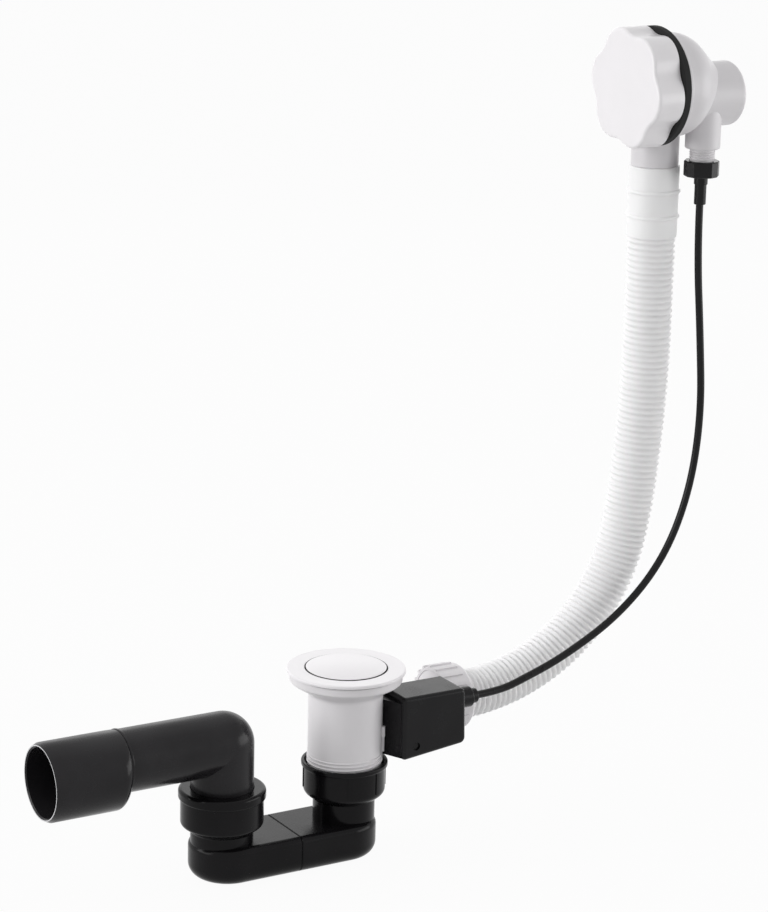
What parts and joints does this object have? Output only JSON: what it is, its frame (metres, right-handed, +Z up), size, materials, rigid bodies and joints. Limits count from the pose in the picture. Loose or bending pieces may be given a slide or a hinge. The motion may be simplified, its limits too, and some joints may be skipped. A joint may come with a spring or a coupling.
{
  "type": "bath waste and overflow",
  "caption": "Bath waste with pop-up plug worked by a lobed overflow knob through a pull cable, a corrugated overflow hose and a flat trap with a swivelling outlet elbow.",
  "frame": {"origin": "on the waste axis, on the underside of the waste flange where it meets the bath", "axes": "+Z up along the waste axis, +X level towards the overflow head, with the outlet pipe towards -X, +Y behind the trap, on the hose port's side"},
  "size_m": [0.4936, 0.0778, 0.5223],
  "materials": {
    "white_plastic": "smooth injection-moulded white polypropylene, soft gloss",
    "hose_plastic": "milky corrugated polyethylene, satin",
    "black_plastic": "black polyethylene and polypropylene, satin",
    "cable_plastic": "black cable sheath, satin",
    "rubber": "black sealing rubber, matt",
    "acetal": "white acetal, satin",
    "steel": "plain stainless steel"
  },
  "bodies": {
    "frame": {"drain_flange": "white_plastic", "flange_gasket": "rubber", "drain_body": "white_plastic", "lever_housing": "black_plastic", "housing_lid": "black_plastic", "lever_pin": "steel", "cable_gland": "black_plastic", "overflow_hose": "hose_plastic", "hose_nut": "white_plastic", "hose_washer": "rubber", "overflow_body": "white_plastic", "spigot_ring": "rubber", "drive_cap": "white_plastic", "spindle_seal": "rubber", "overflow_gasket": "rubber", "clamp_ring": "white_plastic", "clamp_screws": "steel", "cable_nut": "black_plastic", "cable_sleeve": "black_plastic", "cable_sheath": "cable_plastic", "trap_nut": "black_plastic", "trap_washer": "rubber", "trap_inlet_half": "black_plastic", "trap_outlet_half": "black_plastic", "socket_cap": "black_plastic", "socket_seal": "rubber"},
    "knob": {"overflow_knob": "white_plastic", "knob_spindle": "acetal", "cable_drum": "acetal"},
    "lever": {"lift_lever": "acetal"},
    "plug": {"plug_cap": "white_plastic", "plug_seal": "rubber", "plug_stem": "acetal", "stem_nut": "acetal"},
    "lower_wire": {"wire_end_lower": "steel"},
    "upper_wire": {"wire_end_upper": "steel"},
    "outlet": {"outlet_elbow": "black_plastic", "outlet_reducer": "black_plastic"}
  },
  "joints": [
    {"name": "knob_turn", "type": "hinge", "parent": "frame", "child": "knob", "pos_m": [0.21721, 0, 0.361], "axis": [-1, 0, 0], "range_deg": [0, 60]},
    {"name": "lever_swing", "type": "hinge", "parent": "frame", "child": "lever", "pos_m": [0.036, -0.014, -0.0484], "axis": [0, 1, 0], "range_deg": [0, 21.48]},
    {"name": "plug_lift", "type": "slide", "parent": "frame", "child": "plug", "axis": [0, 0, 1], "range_m": [0, 0.01319]},
    {"name": "lower_wire_pull", "type": "slide", "parent": "frame", "child": "lower_wire", "axis": [1, 0, 0], "range_m": [0, 0.00819]},
    {"name": "upper_wire_pull", "type": "slide", "parent": "frame", "child": "upper_wire", "axis": [0, 0, 1], "range_m": [0, 0.00819]},
    {"name": "outlet_swivel", "type": "hinge", "parent": "frame", "child": "outlet", "pos_m": [-0.0887, 0, -0.034], "axis": [0, 0, 1], "range_deg": [-120, 120]}
  ],
  "couplings": [
    {"joint": "lever_swing", "follows": "knob_turn", "ratio": 0.35768},
    {"joint": "plug_lift", "follows": "knob_turn", "m_per_rad": 0.01258},
    {"joint": "lower_wire_pull", "follows": "knob_turn", "m_per_rad": 0.0078},
    {"joint": "upper_wire_pull", "follows": "knob_turn", "m_per_rad": 0.0078}
  ]
}
